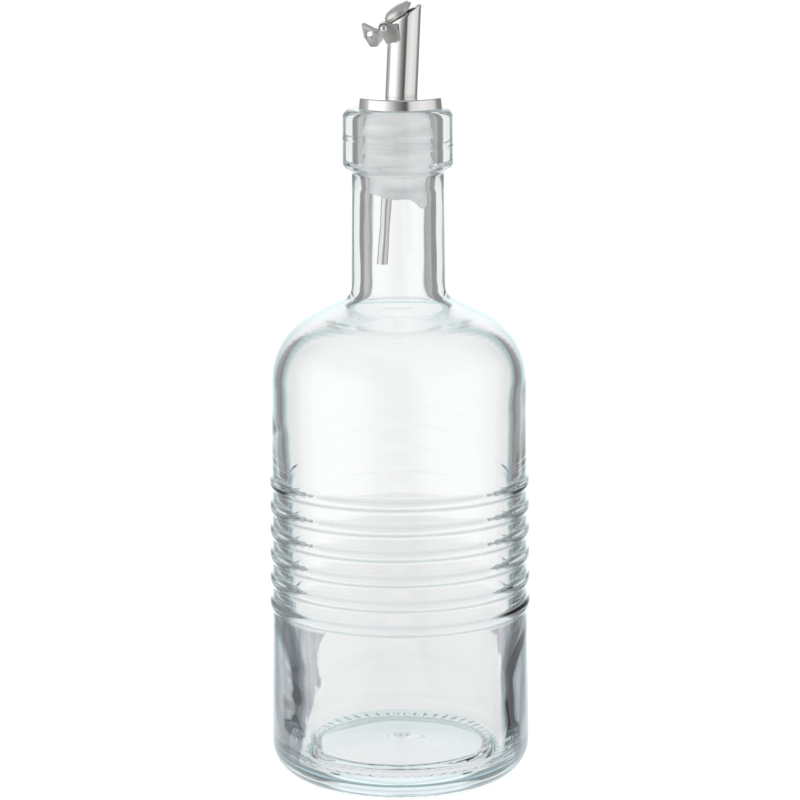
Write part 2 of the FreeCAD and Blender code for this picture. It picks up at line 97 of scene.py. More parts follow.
def rounded(corners, steps=14):
    """Points of an open outline through (x, y, corner radius); the two ends stay sharp."""
    points = [np.array(corner[:2], float) for corner in corners]
    out = [points[0]]
    for i in range(1, len(corners) - 1):
        radius = corners[i][2]
        if radius == 0:
            out.append(points[i])
            continue
        before = points[i - 1] - points[i]
        after = points[i + 1] - points[i]
        before /= np.linalg.norm(before)
        after /= np.linalg.norm(after)
        half = math.acos(np.clip(before @ after, -1, 1)) / 2
        middle = (before + after) / np.linalg.norm(before + after)
        centre = points[i] + middle * radius / math.sin(half)
        first = points[i] + before * radius / math.tan(half) - centre
        last = points[i] + after * radius / math.tan(half) - centre
        sweep = math.pi - 2 * half
        for t in np.linspace(0, 1, steps + 1):
            swung = math.sin((1 - t) * sweep) * first + math.sin(t * sweep) * last
            out.append(centre + swung / math.sin(sweep))
    out.append(points[-1])
    return np.array(out)


def resample(points, spacing):
    """Adds points so that no step along the outline is longer than spacing."""
    out = [points[0]]
    for a, b in zip(points[:-1], points[1:]):
        steps = max(1, math.ceil(np.linalg.norm(b - a) / spacing))
        out += [a + (b - a) * k / steps for k in range(1, steps + 1)]
    return np.array(out)


def smooth_step(x, low, high):
    t = np.clip((x - low) / (high - low), 0, 1)
    return t * t * (3 - 2 * t)


def angle_from(angle, bearing):
    """Signed angle from a bearing, between minus and plus half a turn."""
    return np.mod(angle - bearing + math.pi, TURN) - math.pi


def turned(points, first, second, angle):
    """Copy of the points turned by an angle, from axis `first` towards axis `second`."""
    out = np.array(points, float)
    a, b = out[:, first].copy(), out[:, second].copy()
    out[:, first] = a * math.cos(angle) - b * math.sin(angle)
    out[:, second] = a * math.sin(angle) + b * math.cos(angle)
    return out


def skin(pairs, segments):
    """Faces between pairs of rings of vertex numbers; a ring of one vertex is a pole."""
    faces = []
    for low, high in pairs:
        for k in range(segments):
            n = (k + 1) % segments
            if len(low) == 1:
                faces.append((low[0], high[n], high[k]))
            elif len(high) == 1:
                faces.append((low[k], low[n], high[0]))
            else:
                faces.append((low[k], low[n], high[n], high[k]))
    return faces


def lathe(radii, heights, segments, closed_loop=False):
    """Vertices and faces of an outline turned about Z.  Points at radius 0 become single poles."""
    angles = np.arange(segments) * TURN / segments
    vertices, rings, total = [], [], 0
    for r, z in zip(radii, heights):
        count = 1 if r < 1e-7 else segments
        spread = angles[:count]
        vertices.append(np.column_stack([r * np.cos(spread), r * np.sin(spread), np.full(count, z)]))
        rings.append(range(total, total + count))
        total += count
    pairs = list(zip(rings[:-1], rings[1:]))
    if closed_loop:
        pairs.append((rings[-1], rings[0]))
    return np.vstack(vertices), skin(pairs, segments)


def waves(angle, height, count, low, high, tall):
    """Smooth random field over a cylinder: a sum of `count` seeded waves."""
    total = np.zeros_like(angle)
    for _ in range(count):
        turns = rng.integers(low, high + 1)
        rise = rng.uniform(-1, 1) * TURN / tall
        total += np.cos(turns * angle + rise * height + rng.uniform(0, TURN))
    return total / math.sqrt(count)


def piece(node, look, vertices, faces, material, body, smooth_angle=None):
    """Mesh that is seen in place of a CAD node and rides on its body."""
    mesh = bpy.data.meshes.new(f"{node}_{look}")
    sizes = [len(face) for face in faces]
    starts = np.concatenate([[0], np.cumsum(sizes)[:-1]]).astype(np.int32)
    corners = np.fromiter((index for face in faces for index in face), dtype=np.int32)
    mesh.vertices.add(len(vertices))
    mesh.vertices.foreach_set("co", np.asarray(vertices, np.float32).ravel())
    mesh.loops.add(len(corners))
    mesh.loops.foreach_set("vertex_index", corners)
    mesh.polygons.add(len(faces))
    mesh.polygons.foreach_set("loop_start", starts)
    mesh.update(calc_edges=True)
    if smooth_angle is None:
        mesh.shade_smooth()
    else:
        mesh.set_sharp_from_angle(angle=math.radians(smooth_angle))
    mesh.materials.append(material)
    item = bpy.data.objects.new(mesh.name, mesh)
    bpy.context.scene.collection.objects.link(item)
    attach(item, body)
    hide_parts(node)


# ---------- node helpers ----------

def add(tree, kind, inputs=(), **settings):
    """New node.  An input is a value, or an output to link, given as (node, output name)."""
    node = tree.nodes.new(kind)
    for name, value in settings.items():
        setattr(node, name, value)
    for name, value in dict(inputs).items():
        if isinstance(value, tuple) and isinstance(value[0], bpy.types.Node):
            tree.links.new(value[0].outputs[value[1]], node.inputs[name])
        else:
            node.inputs[name].default_value = value
    return node


def arithmetic(tree, operation, *values):
    return add(tree, "ShaderNodeMath", dict(enumerate(values)), operation=operation), "Value"


def vector(tree, operation, *values, gives="Vector"):
    return add(tree, "ShaderNodeVectorMath", dict(enumerate(values)), operation=operation), gives


def across_range(tree, source, low, high, start=0.0, end=1.0, kind="LINEAR"):
    """Goes from start to end as the source goes from low to high, and stops there."""
    inputs = {"Value": source, "From Min": low, "From Max": high, "To Min": start, "To Max": end}
    return add(tree, "ShaderNodeMapRange", inputs, interpolation_type=kind), "Result"


def smooth_range(tree, source, low, high):
    return across_range(tree, source, low, high, kind="SMOOTHSTEP")


def ramp(tree, source, stops):
    """Colour along (position, colour) stops, where positions run from 0 to 1."""
    node = add(tree, "ShaderNodeValToRGB", {"Fac": source})
    elements = node.color_ramp.elements
    while len(elements) > 1:
        elements.remove(elements[-1])
    for number, (position, colour) in enumerate(stops):
        stop = elements[0] if number == 0 else elements.new(position)
        stop.position = position
        stop.color = (*colour, 1)
    return node, "Color"


MIX_FIRST, MIX_SECOND, MIX_RESULT = 6, 7, 2  # sockets of the Mix node when it mixes colours


def mix(tree, share, first, second, kind="MIX"):
    inputs = {"Factor": share, MIX_FIRST: first, MIX_SECOND: second}
    return add(tree, "ShaderNodeMix", inputs, data_type="RGBA", blend_type=kind), MIX_RESULT


def stretched(tree, place, scale, turn=(0, 0, 0)):
    return add(tree, "ShaderNodeMapping", {"Vector": place, "Scale": scale, "Rotation": turn}), "Vector"


def noise(tree, place, scale, detail, roughness=0.5):
    inputs = {"Vector": place, "Scale": scale, "Detail": detail, "Roughness": roughness}
    return add(tree, "ShaderNodeTexNoise", inputs), "Fac"


def bump(tree, height, strength, distance):
    inputs = {"Height": height, "Strength": strength, "Distance": distance}
    return add(tree, "ShaderNodeBump", inputs), "Normal"


def object_place(tree):
    return add(tree, "ShaderNodeTexCoord"), "Object"


def seen_through_glass(tree):
    """1 for light that has gone through glass on its way, else 0."""
    path = add(tree, "ShaderNodeLightPath")
    return arithmetic(tree, "GREATER_THAN", (path, "Transmission Depth"), 0.5)


def new_material(name):
    material = bpy.data.materials.new(name)
    material.use_nodes = True
    material.node_tree.nodes.clear()
    return material, material.node_tree


# ---------- materials ----------

WHITE = (1.0, 1.0, 1.0)
LEVEL = (1, 1, 0)                            # multiplies a direction to lay it flat
# aqua of the painted shade on the glass edges, where the surface is seen edge on
EDGE_SHADE_AQUA = (0.25, 0.45, 0.46)
# painted shade on the ribs, by how steeply the surface looks down or up: undersides of ribs first and
# darkest, tops last and lightly tinted
RIB_SHADE_TINT = ((0.22, (0.36, 0.46, 0.47)), (0.44, WHITE), (0.60, WHITE), (0.78, (0.78, 0.89, 0.89)))
# painted glow: emission strengths for the glass edge and for the painted side shade, with no lamp there
PAINTED_RIM_GLOW, PAINTED_SIDE_GLOW = 0.10, 0.09
# painted shade, grey where the lower barrel turns away from the viewer: where it starts, from 0 facing the
# viewer to 1 edge on
SIDE_SHADE_START = 0.39
SIDE_SHADE_SHIFT = 0.095 / BARREL                  # change per metre towards +X
SIDE_SHADE_TAPER = -0.22 / (40 * MM)              # change per metre upwards
SIDE_SHADE_RAGGED = 0.22
# greys of the painted side shade
SIDE_SHADE_TINT = ((0.38, (0.12, 0.12, 0.145)), (0.66, (0.34, 0.34, 0.38)))


def turned_away(tree):
    """0 where the wall faces the viewer and 1 at its side edges, whatever height it is seen from."""
    surface = add(tree, "ShaderNodeNewGeometry")
    view = vector(tree, "NORMALIZE", vector(tree, "MULTIPLY", (surface, "Incoming"), LEVEL))
    across = vector(tree, "DOT_PRODUCT", view, (surface, "Normal"), gives="Value")
    return arithmetic(tree, "SUBTRACT", 1.0, arithmetic(tree, "ABSOLUTE", across))


def painted_side_shade(tree, place):
    """Mask and colour of the painted shade on the thick glass low in the barrel.

    The painted shade is grey towards the sides, reaches further in on the left, and has a ragged edge."""
    spot = add(tree, "ShaderNodeSeparateXYZ", {"Vector": place})
    ragged = noise(tree, stretched(tree, place, (1, 1, 0.35)), 190.0, 3.0)
    start = arithmetic(tree, "MULTIPLY_ADD", (spot, "X"), SIDE_SHADE_SHIFT, SIDE_SHADE_START)
    start = arithmetic(tree, "MULTIPLY_ADD", ragged, SIDE_SHADE_RAGGED, start)
    start = arithmetic(tree, "MULTIPLY_ADD", (spot, "Z"), SIDE_SHADE_TAPER, start)
    past = arithmetic(tree, "SUBTRACT", turned_away(tree), start)
    sideways = smooth_range(tree, past, 0.0, 0.02)
    above_heel = smooth_range(tree, (spot, "Z"), 5 * MM, 9 * MM)
    in_ribs = smooth_range(tree, (spot, "Z"), RIB_FIRST - 3 * MM, RIB_FIRST - 1 * MM)
    below_ribs = arithmetic(tree, "SUBTRACT", 1.0, in_ribs)
    radius = vector(tree, "LENGTH", vector(tree, "MULTIPLY", place, LEVEL), gives="Value")
    outside = arithmetic(tree, "GREATER_THAN", radius, BARREL - 1 * MM)
    mask = arithmetic(tree, "MULTIPLY", above_heel, below_ribs)
    mask = arithmetic(tree, "MULTIPLY", mask, outside)
    mask = arithmetic(tree, "MULTIPLY", mask, sideways)
    streaks = noise(tree, stretched(tree, place, (1, 1, 0.16)), 260.0, 2.0)
    return mask, ramp(tree, streaks, SIDE_SHADE_TINT)


def painted_rib_shade(tree):
    """Mask of the ribbed zone, and the painted shade that the slopes of the ribs get, darkest on their
    undersides.
    """
    surface = add(tree, "ShaderNodeNewGeometry")
    slope = add(tree, "ShaderNodeSeparateXYZ", {"Vector": (surface, "Normal")})
    tint = ramp(tree, across_range(tree, (slope, "Z"), -1.0, 1.0), RIB_SHADE_TINT)
    spot = add(tree, "ShaderNodeSeparateXYZ", {"Vector": (surface, "Position")})
    off_middle = arithmetic(tree, "SUBTRACT", (spot, "Z"), (RIB_FIRST + RIB_LAST) / 2)
    away = arithmetic(tree, "ABSOLUTE", off_middle)
    return arithmetic(tree, "LESS_THAN", away, RIB_PITCH * RIB_COUNT / 2), tint


def glass_material():
    material, tree = new_material("clear_glass")
    place = object_place(tree)
    # painted shade: the edge is tinted aqua, standing in for the longer path that light takes through the
    # glass when looking along the surface
    facing = add(tree, "ShaderNodeLayerWeight", {"Blend": 0.5}), "Facing"
    tint = ramp(tree, facing, ((0.64, WHITE), (0.78, EDGE_SHADE_AQUA)))
    # painted shade on the rib slopes and on the sides of the lower barrel darkens the tint
    ribbed, rib_shade_colour = painted_rib_shade(tree)
    tint = mix(tree, ribbed, tint, rib_shade_colour, "MULTIPLY")
    side_shade, side_shade_colour = painted_side_shade(tree, place)
    tint = mix(tree, side_shade, tint, side_shade_colour, "MULTIPLY")
    # painted glow: the edge and the painted side shade also get emission, standing in for a little light
    # carried from inside the glass
    rim = across_range(tree, facing, 0.60, 0.80, 0.0, PAINTED_RIM_GLOW)
    body = add(tree, "ShaderNodeBsdfPrincipled", {
        "Base Color": tint, "Roughness": 0.0, "IOR": 1.52, "Transmission Weight": 1.0,
        "Normal": bump(tree, noise(tree, place, 38.0, 2.0), 0.05, 0.6 * MM),
        "Emission Color": (0.85, 0.95, 1.0, 1),
        "Emission Strength": arithmetic(tree, "MULTIPLY_ADD", side_shade, PAINTED_SIDE_GLOW, rim)})
    depth = add(tree, "ShaderNodeVolumeAbsorption", {"Color": (0.50, 0.82, 0.86, 1), "Density": 5.0})
    add(tree, "ShaderNodeOutputMaterial", {"Surface": (body, "BSDF"), "Volume": (depth, "Volume")})
    return material


def plastic_material(name, colour, passing, clear, grain, glow):
    """Milky moulded plastic: light scatters off it and through it, and a little goes straight on."""
    material, tree = new_material(name)
    slanting = stretched(tree, object_place(tree), (0.35, 0.35, 2.2), (math.radians(6), math.radians(-8), 0))
    cloud = noise(tree, slanting, grain, 3.0)
    tint = ramp(tree, cloud, ((0.35, tuple(c * 0.78 for c in colour)), (0.65, colour)))
    # painted glow: seen through the glass it gets emission, standing in for the light the bottle gathers
    # onto it from all round
    body = add(tree, "ShaderNodeBsdfPrincipled", {
        "Base Color": tint, "Roughness": 0.35, "IOR": 1.45,
        "Normal": bump(tree, cloud, 0.4, 0.4 * MM), "Emission Color": tint,
        "Emission Strength": arithmetic(tree, "MULTIPLY", seen_through_glass(tree), glow)})
    through = add(tree, "ShaderNodeBsdfTranslucent", {"Color": tint})
    milky = add(tree, "ShaderNodeMixShader", {"Fac": passing, 1: (body, "BSDF"), 2: (through, "BSDF")})
    straight = add(tree, "ShaderNodeBsdfTransparent")
    mixed = add(tree, "ShaderNodeMixShader", {"Fac": clear, 1: (milky, "Shader"), 2: (straight, "BSDF")})
    add(tree, "ShaderNodeOutputMaterial", {"Surface": (mixed, "Shader")})
    return material


def steel_material(name, colour, roughness, stretch, bump_strength):
    """Stainless steel with fine drawn lines; `stretch` scales the noise along X, Y and Z."""
    material, tree = new_material(name)
    lines = noise(tree, stretched(tree, object_place(tree), stretch), 1.0, 4.0, 0.6)
    body = add(tree, "ShaderNodeBsdfPrincipled", {
        "Base Color": ramp(tree, lines, ((0.0, tuple(c * 0.9 for c in colour)), (1.0, colour))),
        "Metallic": 1.0, "Roughness": across_range(tree, lines, 0.0, 1.0, roughness * 0.7, roughness * 1.4),
        "Normal": bump(tree, lines, bump_strength, 0.05 * MM)})
    add(tree, "ShaderNodeOutputMaterial", {"Surface": (body, "BSDF")})
    return material


# ---------- glass bottle ----------

def finer_rows(outside, radius, first, last, step):
    """Swaps the straight wall between two heights for rows that are `step` apart."""
    rows = np.arange(first, last, step)
    below = outside[outside[:, 1] < rows[0]]
    above = outside[outside[:, 1] > rows[-1]]
    return np.vstack([below, np.column_stack([np.full(len(rows), radius), rows]), above])


def bottle_outline():
    """Rows (radius, height) from the push-up, out over the heel and the mouth, to the inside floor."""
    outline = rounded([
        (0, 3.4 * MM, 0), (BEARING_IN - 2 * MM, 2.6 * MM, 1.2 * MM), (BEARING_IN, 0, 0.6 * MM),
        (BARREL, 0, HEEL_ROUND), (BARREL, SHOULDER_EDGE, SHOULDER_ROUND),
        (NECK_FOOT_RADIUS, NECK_FOOT, 4 * MM), (NECK_TOP_RADIUS, NECK_TOP, 0.9 * MM),
        (COLLAR_RADIUS, COLLAR_FOOT, 1.8 * MM), (COLLAR_RADIUS, HEIGHT, 2.6 * MM),
        (MOUTH_BORE, HEIGHT, 1.2 * MM), (MOUTH_BORE, HEIGHT - 16 * MM, 8 * MM),
        (BORE, HEIGHT - 25 * MM, 8 * MM), (BORE, NECK_FOOT - WALL * 1.05, 12 * MM),
        (INSIDE, SHOULDER_EDGE - WALL * 0.7, SHOULDER_ROUND - WALL),
        (INSIDE, FLOOR - 1.6 * MM, 3.6 * MM), (31.6 * MM, FLOOR - 1.6 * MM, 0.8 * MM),
        (28.5 * MM, FLOOR + 0.5 * MM, 3 * MM), (0, FLOOR + 1.8 * MM, 0)])
    top = int(np.argmax(outline[:, 1] > HEIGHT - 1e-6))
    outside = resample(outline[:top + 1], 0.6 * MM)
    outside = finer_rows(outside, BARREL, RIB_FIRST - 3 * MM, RIB_LAST + 3 * MM, 0.2 * MM)
    outside = finer_rows(outside, COLLAR_RADIUS, MOULD_LINE - 1.8 * MM, MOULD_LINE + 1.8 * MM, 0.12 * MM)
    inside = resample(outline[top:], 1.0 * MM)[1:]
    return outside, inside


def glass_bottle(material):
    outside, inside = bottle_outline()
    outline = np.vstack([outside, inside])
    vertices, faces = lathe(outline[:, 0], outline[:, 1], GLASS_SEGMENTS)
    is_inside = np.arange(len(outline)) >= len(outside)
    is_inside = np.repeat(is_inside, np.where(outline[:, 0] < 1e-7, 1, GLASS_SEGMENTS))
    x, y, z = vertices.T
    radius = np.hypot(x, y)
    angle = np.arctan2(y, x)
    grow = np.zeros_like(radius)

    # ribs: rounded beads, flatter at the back of the bottle
    out_wall = ~is_inside & (radius > BARREL - 1 * MM)
    rib_share = 1 - RIB_LOST_AT_BACK * smooth_step(np.sin(angle), 0.1, 0.6)
    for i in range(RIB_COUNT):
        height = RIB_FIRST + RIB_PITCH * i + RIB_WANDER * np.sin(angle * 2 + i)
        bead = np.exp(-np.abs((z - height) / RIB_HALF_WIDTH) ** 3)
        grow += out_wall * bead * RIB_STAND * rib_share
    # seam where the two halves of the neck mould met, a fine raised line
    collar_wall = ~is_inside & (radius > COLLAR_RADIUS - 0.3 * MM) & (z > COLLAR_FOOT)
    off_line = (z - MOULD_LINE + MOULD_LINE_FALL * x) / MOULD_LINE_HALF_WIDTH
    grow += collar_wall * MOULD_LINE_STAND * np.exp(-off_line ** 2)

    # the blown inside is uneven: long waves in the barrel, finer ones in the neck
    barrel_zone = is_inside * smooth_step(radius, 20 * MM, INSIDE)
    neck_zone = is_inside * smooth_step(z, NECK_FOOT - 2 * MM, NECK_FOOT + 4 * MM)
    neck_zone *= 1 - smooth_step(z, HEIGHT - 30 * MM, HEIGHT - 24 * MM)
    grow -= barrel_zone * BARREL_WAVE * waves(angle, z, 14, 1, 4, 90 * MM)
    grow -= neck_zone * NECK_WAVE * waves(angle, z, 14, 1, 4, 22 * MM)
    grow -= neck_zone * NECK_RIPPLE * waves(angle, z, 24, 4, 14, 14 * MM)
    # and thicker in a few patches
    for bearing, spread, middle, reach, depth in THICK_PATCHES:
        edge = math.radians(spread) * (1 + 0.05 * waves(0 * angle, z, 8, 1, 1, 9 * MM))
        off = angle_from(angle, math.radians(bearing)) / edge
        patch = np.exp(-np.abs(off) ** 4 - ((z - middle * MM) / (reach * MM)) ** 6)
        ragged = 1 + 0.04 * waves(angle, z, 10, 2, 7, 40 * MM)
        grow -= barrel_zone * patch * depth * MM * ragged
    grow = np.where(radius > 6 * MM, grow, 0)
    scale = 1 + grow / np.maximum(radius, 1e-6)
    x, y = x * scale, y * scale

    # bearing ring: short radial bars separated by grooves
    band = smooth_step(radius, BEARING_IN + 0.2 * MM, BEARING_IN + 1.0 * MM)
    band *= 1 - smooth_step(radius, BEARING_OUT, BEARING_OUT + 1.2 * MM)
    band *= ~is_inside & (z < 2 * MM)
    bars = smooth_step(np.cos(angle * BEARING_BARS), -0.35, 0.35)
    z = z + band * (1 - bars) * BEARING_DEPTH

    # floor: the inside bottom is gently uneven
    floor_zone = is_inside * (1 - smooth_step(radius, 28 * MM, 34 * MM)) * (z < 30 * MM)
    z = z + floor_zone * FLOOR_WAVE * waves(angle, radius, 8, 1, 3, 30 * MM) * radius / (25 * MM)
    piece("glass_bottle", "clear", np.column_stack([x, y, z]), faces, material, "bottle")


# ---------- plug ----------

SLEEVE_IN, SLEEVE_OUT = 6.65 * MM, 10.0 * MM # radii of the wall between the fins
SLEEVE_SEGMENTS = 192
FIN_LEVELS = (193.4 * MM, 188.7 * MM, 184.2 * MM)
SKIRT = BORE - 0.08 * MM                     # radius of the skirt, a light squeeze inside the bore
SKIRT_FOOT = 174.4 * MM
FLAP_BEARING, FLAP_HALF_WIDTH, FLAP_DROP = -0.75, 0.33, 2.6 * MM


def plug_sleeve(material):
    """Soft sleeve: crumpled fins that lean where the bore squeezes them, and a skirt with a pointed flap."""
    fin, top = sleeve_high.x, sleeve_high.z
    # radius, height, and how freely the moulding moves there
    rows = [(SLEEVE_IN, 177.6 * MM, 0), (SLEEVE_IN, top, 0), (fin, top, 0), (fin, top - 2.4 * MM, 0),
            (SLEEVE_OUT, top - 2.9 * MM, 0)]
    for level in FIN_LEVELS:
        rows += [(SLEEVE_OUT, level + 2.6 * MM, 0), (fin - 0.1 * MM, level + 0.5 * MM, 1), (fin, level, 1),
                 (fin - 0.15 * MM, level - 0.4 * MM, 1), (SLEEVE_OUT, level - 0.3 * MM, 0)]
    rows += [(SLEEVE_OUT, 183.2 * MM, 0), (SKIRT - 0.5 * MM, 180.2 * MM, 0.2), (SKIRT, 176.5 * MM, 0.6),
             (SKIRT, SKIRT_FOOT, 1), (SKIRT - 0.6 * MM, SKIRT_FOOT, 1), (SKIRT - 0.8 * MM, 177.0 * MM, 0.5)]
    rows = resample(np.array(rows), 0.5 * MM)
    vertices, faces = lathe(rows[:, 0], rows[:, 1], SLEEVE_SEGMENTS, closed_loop=True)
    loose = np.repeat(rows[:, 2], SLEEVE_SEGMENTS)
    x, y, z = vertices.T
    angle = np.arctan2(y, x)
    fin_wave = waves(angle, z, 8, 1, 4, 14 * MM) * 0.5 * MM
    z = z + np.where(z > 180 * MM, loose * fin_wave, 0)
    skirt_part = (z < 178 * MM) * loose
    flap = np.exp(-(angle_from(angle, FLAP_BEARING) / FLAP_HALF_WIDTH) ** 2)
    z = z - skirt_part * (FLAP_DROP * flap + 0.9 * MM * np.cos(angle + 0.5) - 0.3 * MM)
    z = z + skirt_part * 0.35 * MM * np.sin(angle * 5 + 1.0)
    pinch = 1 - 0.05 * skirt_part * (1 + np.sin(angle * 3 + 2)) / 2
    vertices = np.column_stack([x * pinch, y * pinch, z])
    piece("plug_sleeve", "soft", vertices, faces, material, "plug")


# ---------- spout and cap ----------

def from_spout(points):
    """Points in the spout's frame, with its origin where its axis meets the collar top, to the row frame."""
    matrix = np.array(Matrix.Rotation(SPOUT_LEAN, 3, "Y"))
    return points @ matrix.T + (SPOUT_OFFSET, 0, HEIGHT)


def spout_tube(material):
    segments, steps = 160, 60
    angles = np.arange(segments) * TURN / segments
    inner = SPOUT_RADIUS - SPOUT_WALL
    ease = 0.1 * MM                          # rounding of the cut edge
    rings = []

    def ring(radius, share, drop=0.0):
        top = MOUTH_CENTRE + radius * np.cos(angles - MOUTH_SKEW) * math.tan(MOUTH_SLOPE) - drop
        height = SPOUT_FOOT + (top - SPOUT_FOOT) * share
        rings.append(np.column_stack([radius * np.cos(angles), radius * np.sin(angles), height]))

    for k in range(steps + 1):
        ring(SPOUT_RADIUS, k / steps, ease)
    ring(SPOUT_RADIUS - ease * 0.4, 1, ease * 0.3)
    ring(SPOUT_RADIUS - ease * 1.2, 1)
    ring(inner + ease * 1.2, 1)
    ring(inner + ease * 0.4, 1, ease * 0.3)
    for k in range(steps + 1):
        ring(inner, 1 - k / steps, ease)
    index = [range(i * segments, (i + 1) * segments) for i in range(len(rings))]
    faces = skin(zip(index, index[1:] + index[:1]), segments)
    piece("spout_tube", "steel", from_spout(np.vstack(rings)), faces, material, "head")


def cap_disc(material):
    low, high = cap_low.z, cap_high.z
    centre_x = (cap_low.x + cap_high.x) / 2
    rim = (cap_high.x - cap_low.x) / 2
    sheet = 0.5 * MM
    hole = SPOUT_RADIUS + 0.02 * MM
    outline = rounded([
        (hole, high, 0), (rim - 0.35 * MM, high, 0.55 * MM), (rim, low + 0.05 * MM, 0.22 * MM),
        (rim - sheet, low, 0.2 * MM), (rim - sheet - 0.25 * MM, high - sheet, 0.2 * MM),
        (hole, high - sheet, 0)], steps=8)
    outline = resample(outline, 0.6 * MM)
    vertices, faces = lathe(outline[:, 0], outline[:, 1], 256, closed_loop=True)
    # the hole sits on the leaning spout, the rim on the cap's own centre
    share = smooth_step(np.hypot(vertices[:, X], vertices[:, Y]), hole, rim * 0.8)
    hole_x = SPOUT_OFFSET + (high - HEIGHT) * math.tan(SPOUT_LEAN)
    vertices[:, X] += hole_x + (centre_x - hole_x) * share
    piece("cap_disc", "steel", vertices, faces, material, "head")


# ---------- lid and its hinge ----------

SHEET = 0.4 * MM
LID_OPEN = math.radians(4.5)
LUG_TURN = math.radians(6.5)
TAB_TURN = math.radians(204.9)
TAB_FOLD = math.radians(24.0)
PIN_ACROSS, PIN_ALONG = -6.29 * MM, 24.52 * MM
LUG_FACE = SPOUT_RADIUS + 0.15 * MM
SADDLE_OUT, SADDLE_IN = 1.6 * MM, 1.2 * MM
LID_HALF_LENGTH, LID_HALF_WIDTH, LID_RISE, LID_RIM = 4.75 * MM, 4.25 * MM, 3.0 * MM, 0.42 * MM
LID_CENTRE, LID_LIFT = 6.1 * MM, 0.25 * MM
LID_BLUNT = 2.3                              # 2 would make the dome an ellipse
LID_LEAN = MOUTH_SKEW * math.sin(MOUTH_SLOPE) * 1.3
STRAP_WIDTH, ROOT_WIDTH = 5.2 * MM, 1.6 * MM
HOLE_RADIUS, HOLE_CENTRE, TAB_REACH = 0.85 * MM, 4.8 * MM, 6.8 * MM


def from_pin(points, angle):
    """Points in the pin's frame, square to the spout when the angle is 0, to the row frame."""
    return from_spout(turned(points, X, Z, angle) + (PIN_ACROSS, 0, PIN_ALONG))


def arc(centre, radius, start, end, steps):
    angles = np.radians(np.linspace(start, end, steps + 1))
    return np.column_stack([centre[0] + radius * np.cos(angles), centre[1] + radius * np.sin(angles)])


def corner(x, y, radius, start, end, steps=6):
    """Round corner of a sheet's outline, in millimetres and degrees."""
    return arc((x * MM, y * MM), radius * MM, start, end, steps)


def strip(first, last, low, high):
    return [(first, low), (last, low), (last, high), (first, high)]


def slab(outline, thickness, start=0.0):
    """Sheet with rounded edges standing in XZ, from y = start down to y = start - thickness."""
    outline = np.asarray(outline)
    ahead = np.roll(outline, -1, 0) - outline
    behind = outline - np.roll(outline, 1, 0)
    along = ahead / np.linalg.norm(ahead, axis=1)[:, None] + behind / np.linalg.norm(behind, axis=1)[:, None]
    along /= np.linalg.norm(along, axis=1)[:, None]
    outward = np.column_stack([along[:, 1], -along[:, 0]])
    ease = 0.07 * MM
    rings = []
    for pull, depth in ((ease, 0), (ease * 0.3, ease * 0.3), (0, ease), (0, thickness - ease),
                        (ease * 0.3, thickness - ease * 0.3), (ease, thickness)):
        flat = outline - outward * pull
        rings.append(np.column_stack([flat[:, 0], np.full(len(flat), start - depth), flat[:, 1]]))
    count = len(outline)
    index = [list(range(i * count, (i + 1) * count)) for i in range(len(rings))]
    faces = [face[::-1] for face in skin(zip(index[:-1], index[1:]), count)]
    faces += [tuple(index[0]), tuple(index[-1][::-1])]
    return np.vstack(rings), faces


def lid_dome():
    """Spoon-shaped lid around its own centre: blunt dome, flat rim, and a tip that turns up."""
    shares = [math.sin(k / 20 * math.pi / 2) for k in range(21)]
    crown = [(1 - share ** LID_BLUNT) ** (1 / LID_BLUNT) for share in shares]
    hollow = LID_RISE - SHEET
    # share of the half length, height, and how far the rim stands out there
    profile = [(share, SHEET + hollow * up, 0) for share, up in zip(shares, crown)]
    profile += [(1, SHEET, LID_RIM * 0.8), (1, SHEET * 0.8, LID_RIM), (1, SHEET * 0.2, LID_RIM),
                (1, 0, LID_RIM * 0.85), (1, 0, -0.1 * MM)]
    profile += [(share * 0.95, hollow * up, 0) for share, up in zip(shares[::-1], crown[::-1])]
    segments = 128
    angles = np.arange(segments) * TURN / segments
    narrow = 1 - 0.10 * (1 - np.cos(angles)) / 2
    rings, vertices, total = [], [], 0
    for share, height, extra in profile:
        count = 1 if share < 1e-6 else segments
        spread = angles[:count]
        x = (LID_HALF_LENGTH * share + extra) * np.cos(spread)
        y = (LID_HALF_WIDTH * share + extra) * np.sin(spread) * narrow[:count]
        curl = 0.95 * MM * np.clip((x / LID_HALF_LENGTH - 0.6) / 0.45, 0, None) ** 1.5
        vertices.append(np.column_stack([x, y, height + curl]))
        rings.append(range(total, total + count))
        total += count
    return np.vstack(vertices), skin(zip(rings[1:], rings[:-1]), segments)


def tab_wings():
    """Outlines of the thumb tab's two wings, each with half of the hole on the crease between them."""
    root = [(1.3 * MM, 0)]
    end = [(TAB_REACH, 0)]
    lower = np.vstack([root, arc((HOLE_CENTRE, 0), HOLE_RADIUS, 180, 0, 16), end,
                       corner(5.65, 3.45, 0.9, 10, 80), corner(4.6, 3.9, 1.0, 85, 110, 4),
                       corner(2.3, 3.2, 0.6, 105, 190)])
    upper = np.vstack([end, arc((HOLE_CENTRE, 0), HOLE_RADIUS, 0, -180, 16), root,
                       [(2.4 * MM, -0.8 * MM)], corner(5.2, -3.4, 0.8, 225, 350, 8)])
    return lower, upper


